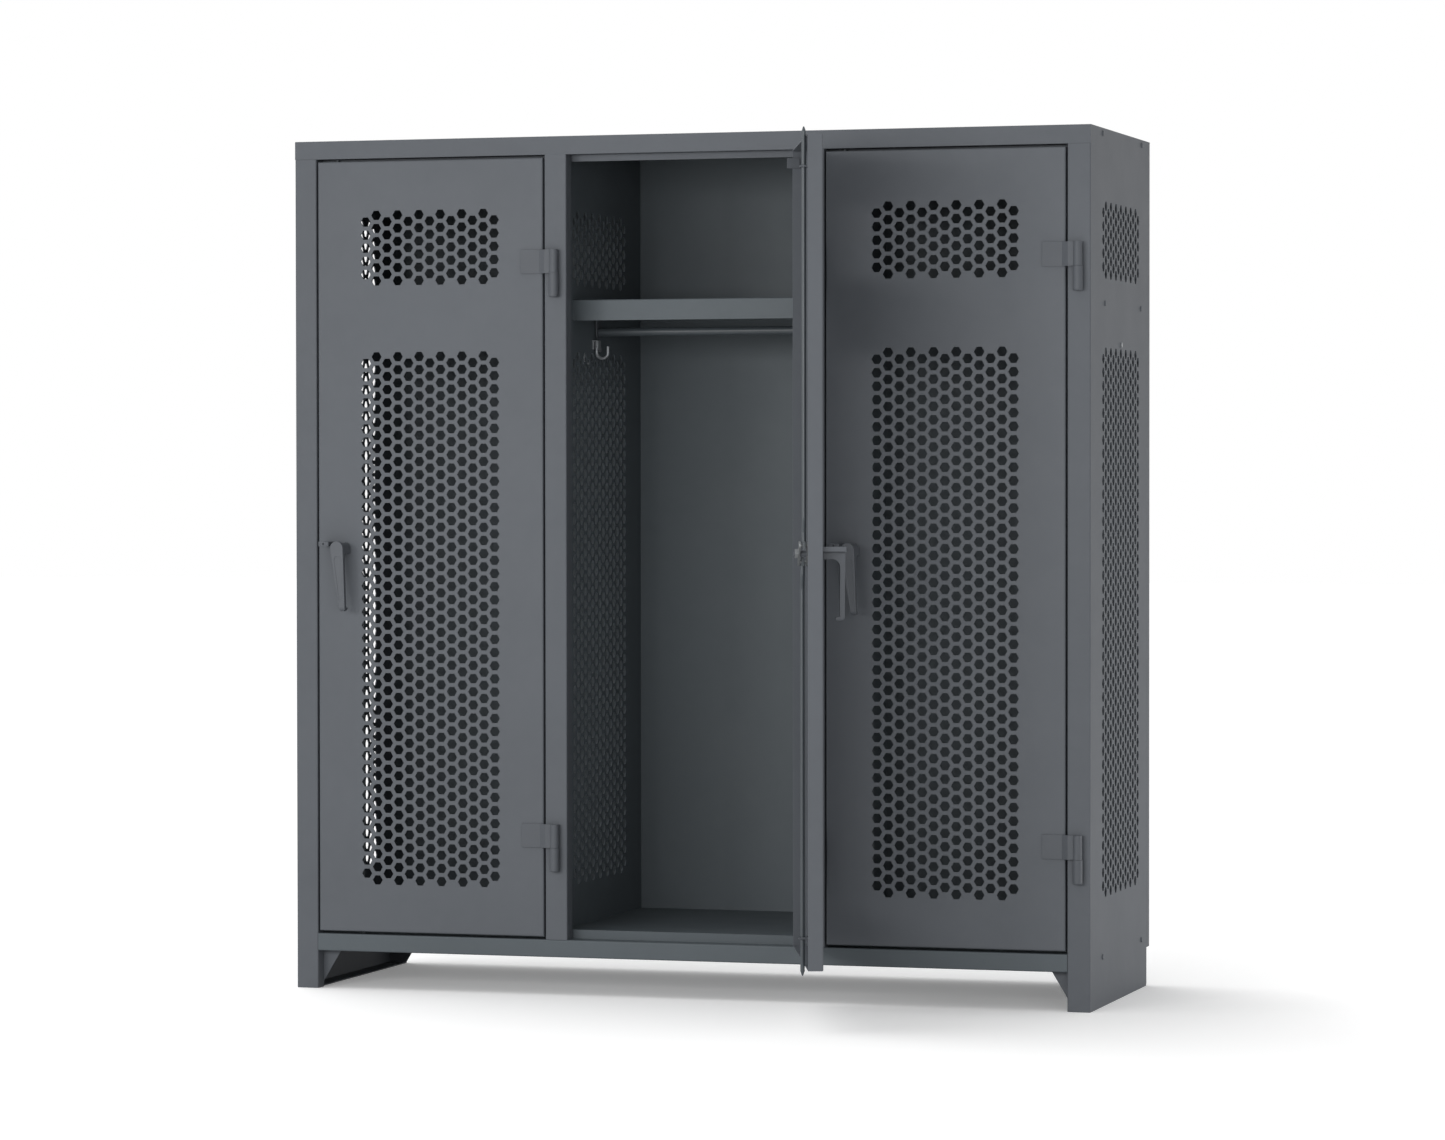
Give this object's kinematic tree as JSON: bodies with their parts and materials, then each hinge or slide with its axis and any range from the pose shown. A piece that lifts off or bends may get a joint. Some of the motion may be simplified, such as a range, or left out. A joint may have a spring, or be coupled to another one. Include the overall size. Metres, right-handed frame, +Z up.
{
  "type": "ventilated locker",
  "caption": "Floor-standing ventilated steel locker with perforated hinged doors, shelves, coat rods, coat hooks and lever handles that work lock rods.",
  "frame": {"origin": "on the floor, at the centre of the cabinet's plan and of its four anchor holes", "axes": "+X to the viewer's right along the front, +Y from the front to the rear, +Z up"},
  "size_m": [1.8352, 1.1658, 1.905],
  "materials": {
    "painted_steel": "satin powder coat",
    "plated_steel": "zinc plated"
  },
  "bodies": {
    "cabinet": {"left_side_panel": "painted_steel", "right_side_panel": "painted_steel", "left_divider_panel": "painted_steel", "right_divider_panel": "painted_steel", "left_front_post": "painted_steel", "left_divider_post": "painted_steel", "right_divider_post": "painted_steel", "right_front_post": "painted_steel", "roof_panel": "painted_steel", "floor_panel": "painted_steel", "back_panel": "painted_steel", "back_flanges": "painted_steel", "front_foot_gussets": "painted_steel", "rear_foot_gussets": "painted_steel", "left_foot_flange": "painted_steel", "right_foot_flange": "painted_steel", "left_shelf": "painted_steel", "middle_shelf": "painted_steel", "right_shelf": "painted_steel", "left_coat_rod": "painted_steel", "middle_coat_rod": "painted_steel", "right_coat_rod": "painted_steel", "coat_rod_hangers": "painted_steel", "coat_hooks": "plated_steel", "panel_bolts": "painted_steel", "frame_hinge_knuckles": "painted_steel", "hinge_pins": "plated_steel"},
    "left_door": {"left_door_skin": "painted_steel", "left_door_rim": "painted_steel", "left_door_hinge_leaves": "painted_steel", "left_padlock_hasp": "painted_steel", "left_handle_bushing": "plated_steel", "left_rod_guides": "painted_steel", "left_anti_lift_tab": "painted_steel"},
    "left_handle": {"left_door_handle": "painted_steel", "left_latch_cam": "plated_steel"},
    "left_upper_rod": {"left_upper_lock_rod": "painted_steel"},
    "left_lower_rod": {"left_lower_lock_rod": "painted_steel"},
    "middle_door": {"middle_door_skin": "painted_steel", "middle_door_rim": "painted_steel", "middle_door_hinge_leaves": "painted_steel", "middle_padlock_hasp": "painted_steel", "middle_handle_bushing": "plated_steel", "middle_rod_guides": "painted_steel", "middle_anti_lift_tab": "painted_steel"},
    "middle_handle": {"middle_door_handle": "painted_steel", "middle_latch_cam": "plated_steel"},
    "middle_upper_rod": {"middle_upper_lock_rod": "painted_steel"},
    "middle_lower_rod": {"middle_lower_lock_rod": "painted_steel"},
    "right_door": {"right_door_skin": "painted_steel", "right_door_rim": "painted_steel", "right_door_hinge_leaves": "painted_steel", "right_padlock_hasp": "painted_steel", "right_handle_bushing": "plated_steel", "right_rod_guides": "painted_steel", "right_anti_lift_tab": "painted_steel"},
    "right_handle": {"right_door_handle": "painted_steel", "right_latch_cam": "plated_steel"},
    "right_upper_rod": {"right_upper_lock_rod": "painted_steel"},
    "right_lower_rod": {"right_lower_lock_rod": "painted_steel"}
  },
  "joints": [
    {"name": "left_door_swing", "type": "hinge", "parent": "cabinet", "child": "left_door", "pos_m": [-0.29633, -0.3158, 0.965], "axis": [0, 0, 1], "range_deg": [0, 150]},
    {"name": "left_handle_turn", "type": "hinge", "parent": "left_door", "child": "left_handle", "pos_m": [-0.7986, -0.3048, 0.992], "axis": [0, -1, 0], "range_deg": [0, 90]},
    {"name": "left_upper_rod_slide", "type": "slide", "parent": "left_door", "child": "left_upper_rod", "axis": [0, 0, -1], "range_m": [0, 0.034]},
    {"name": "left_lower_rod_slide", "type": "slide", "parent": "left_door", "child": "left_lower_rod", "axis": [0, 0, 1], "range_m": [0, 0.034]},
    {"name": "middle_door_swing", "type": "hinge", "parent": "cabinet", "child": "middle_door", "pos_m": [0.29633, -0.3158, 0.965], "axis": [0, 0, 1], "range_deg": [-109.5, 40.5]},
    {"name": "middle_handle_turn", "type": "hinge", "parent": "middle_door", "child": "middle_handle", "pos_m": [0.45362, -0.79293, 0.992], "axis": [0.9426, 0.3338, 0], "range_deg": [0, 90]},
    {"name": "middle_upper_rod_slide", "type": "slide", "parent": "middle_door", "child": "middle_upper_rod", "axis": [0, 0, -1], "range_m": [0, 0.034]},
    {"name": "middle_lower_rod_slide", "type": "slide", "parent": "middle_door", "child": "middle_lower_rod", "axis": [0, 0, 1], "range_m": [0, 0.034]},
    {"name": "right_door_swing", "type": "hinge", "parent": "cabinet", "child": "right_door", "pos_m": [0.889, -0.3158, 0.965], "axis": [0, 0, 1], "range_deg": [0, 180]},
    {"name": "right_handle_turn", "type": "hinge", "parent": "right_door", "child": "right_handle", "pos_m": [0.38673, -0.3048, 0.992], "axis": [0, -1, 0], "range_deg": [0, 90]},
    {"name": "right_upper_rod_slide", "type": "slide", "parent": "right_door", "child": "right_upper_rod", "axis": [0, 0, -1], "range_m": [0, 0.034]},
    {"name": "right_lower_rod_slide", "type": "slide", "parent": "right_door", "child": "right_lower_rod", "axis": [0, 0, 1], "range_m": [0, 0.034]}
  ],
  "couplings": [
    {"joint": "left_upper_rod_slide", "follows": "left_handle_turn", "m_per_rad": 0.0216},
    {"joint": "left_lower_rod_slide", "follows": "left_handle_turn", "m_per_rad": 0.0216},
    {"joint": "middle_upper_rod_slide", "follows": "middle_handle_turn", "m_per_rad": 0.0216},
    {"joint": "middle_lower_rod_slide", "follows": "middle_handle_turn", "m_per_rad": 0.0216},
    {"joint": "right_upper_rod_slide", "follows": "right_handle_turn", "m_per_rad": 0.0216},
    {"joint": "right_lower_rod_slide", "follows": "right_handle_turn", "m_per_rad": 0.0216}
  ]
}
